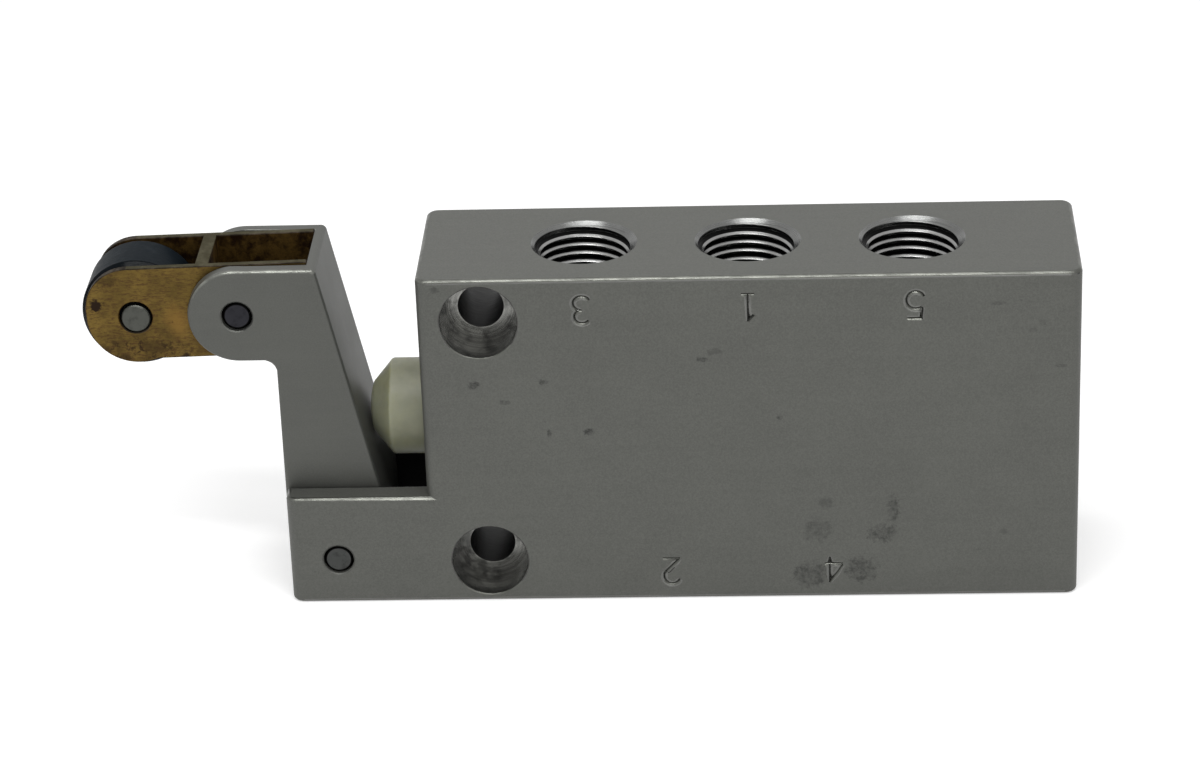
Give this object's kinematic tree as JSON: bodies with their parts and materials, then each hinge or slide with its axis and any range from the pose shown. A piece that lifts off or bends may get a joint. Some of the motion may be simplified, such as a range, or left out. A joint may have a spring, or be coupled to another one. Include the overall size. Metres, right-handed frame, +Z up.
{
  "type": "stem operated air valve",
  "caption": "Rectangular aluminium spool valve with threaded ports, pushed at one end by a hinged lever that carries a one-way folding roller link.",
  "frame": {"origin": "midway between the two mounting holes, on the back mounting face", "axes": "+X along the block from the lever towards the end plug, +Y out of the back mounting face, +Z up through the three upper ports"},
  "size_m": [0.0975, 0.0175, 0.0351],
  "materials": {
    "block_aluminium": "clear anodised, satin, scuffed",
    "lever_aluminium": "machined satin",
    "link_brass": "worn and stained",
    "pin_steel": "dark oiled steel",
    "axle_steel": "ground steel",
    "roller_plastic": "turned black acetal",
    "plunger_nylon": "natural nylon",
    "spool_steel": "ground",
    "bush_brass": "turned",
    "plug_aluminium": "turned",
    "spring_steel": "drawn wire",
    "seal_rubber": "nitrile",
    "cage_plastic": "moulded acetal"
  },
  "bodies": {
    "valve": {"valve_body": "block_aluminium", "lever_pivot_pin": "pin_steel", "end_plug": "plug_aluminium", "retaining_ring": "spring_steel", "return_spring": "spring_steel", "seal_ring_1": "seal_rubber", "seal_ring_2": "seal_rubber", "seal_ring_3": "seal_rubber", "seal_ring_4": "seal_rubber", "seal_ring_5": "seal_rubber", "seal_ring_6": "seal_rubber", "cage_1": "cage_plastic", "cage_2": "cage_plastic", "cage_3": "cage_plastic", "cage_4": "cage_plastic", "cage_5": "cage_plastic", "front_bush": "bush_brass", "rear_bush": "bush_brass", "end_plug_seal": "seal_rubber"},
    "spool": {"spool": "spool_steel", "plunger": "plunger_nylon"},
    "lever": {"lever": "lever_aluminium", "link_pivot_pin": "pin_steel", "link_spring": "spring_steel"},
    "link": {"roller_link": "link_brass", "roller_pin": "axle_steel"},
    "roller": {"roller": "roller_plastic"}
  },
  "joints": [
    {"name": "lever_pivot", "type": "hinge", "parent": "valve", "child": "lever", "pos_m": [-0.0151, -0.00875, -0.01275], "axis": [0, 1, 0], "range_deg": [0, 13.7], "stiffness_Nm_per_rad": 0.05, "springref_deg": -19.48},
    {"name": "spool_stroke", "type": "slide", "parent": "valve", "child": "spool", "axis": [1, 0, 0], "range_m": [0, 0.0028], "deforming": ["return_spring"]},
    {"name": "link_fold", "type": "hinge", "parent": "lever", "child": "link", "pos_m": [-0.0238, -0.00875, 0.0126], "axis": [0, -1, 0], "range_deg": [0, 70], "stiffness_Nm_per_rad": 0.01, "springref_deg": -57.3, "deforming": ["link_spring"]},
    {"name": "roller_spin", "type": "hinge", "parent": "link", "child": "roller", "pos_m": [-0.03399, -0.00875, 0.01183], "axis": [0, 1, 0], "continuous": true}
  ],
  "couplings": [
    {"joint": "spool_stroke", "follows": "lever_pivot", "m_per_rad": 0.01165}
  ]
}
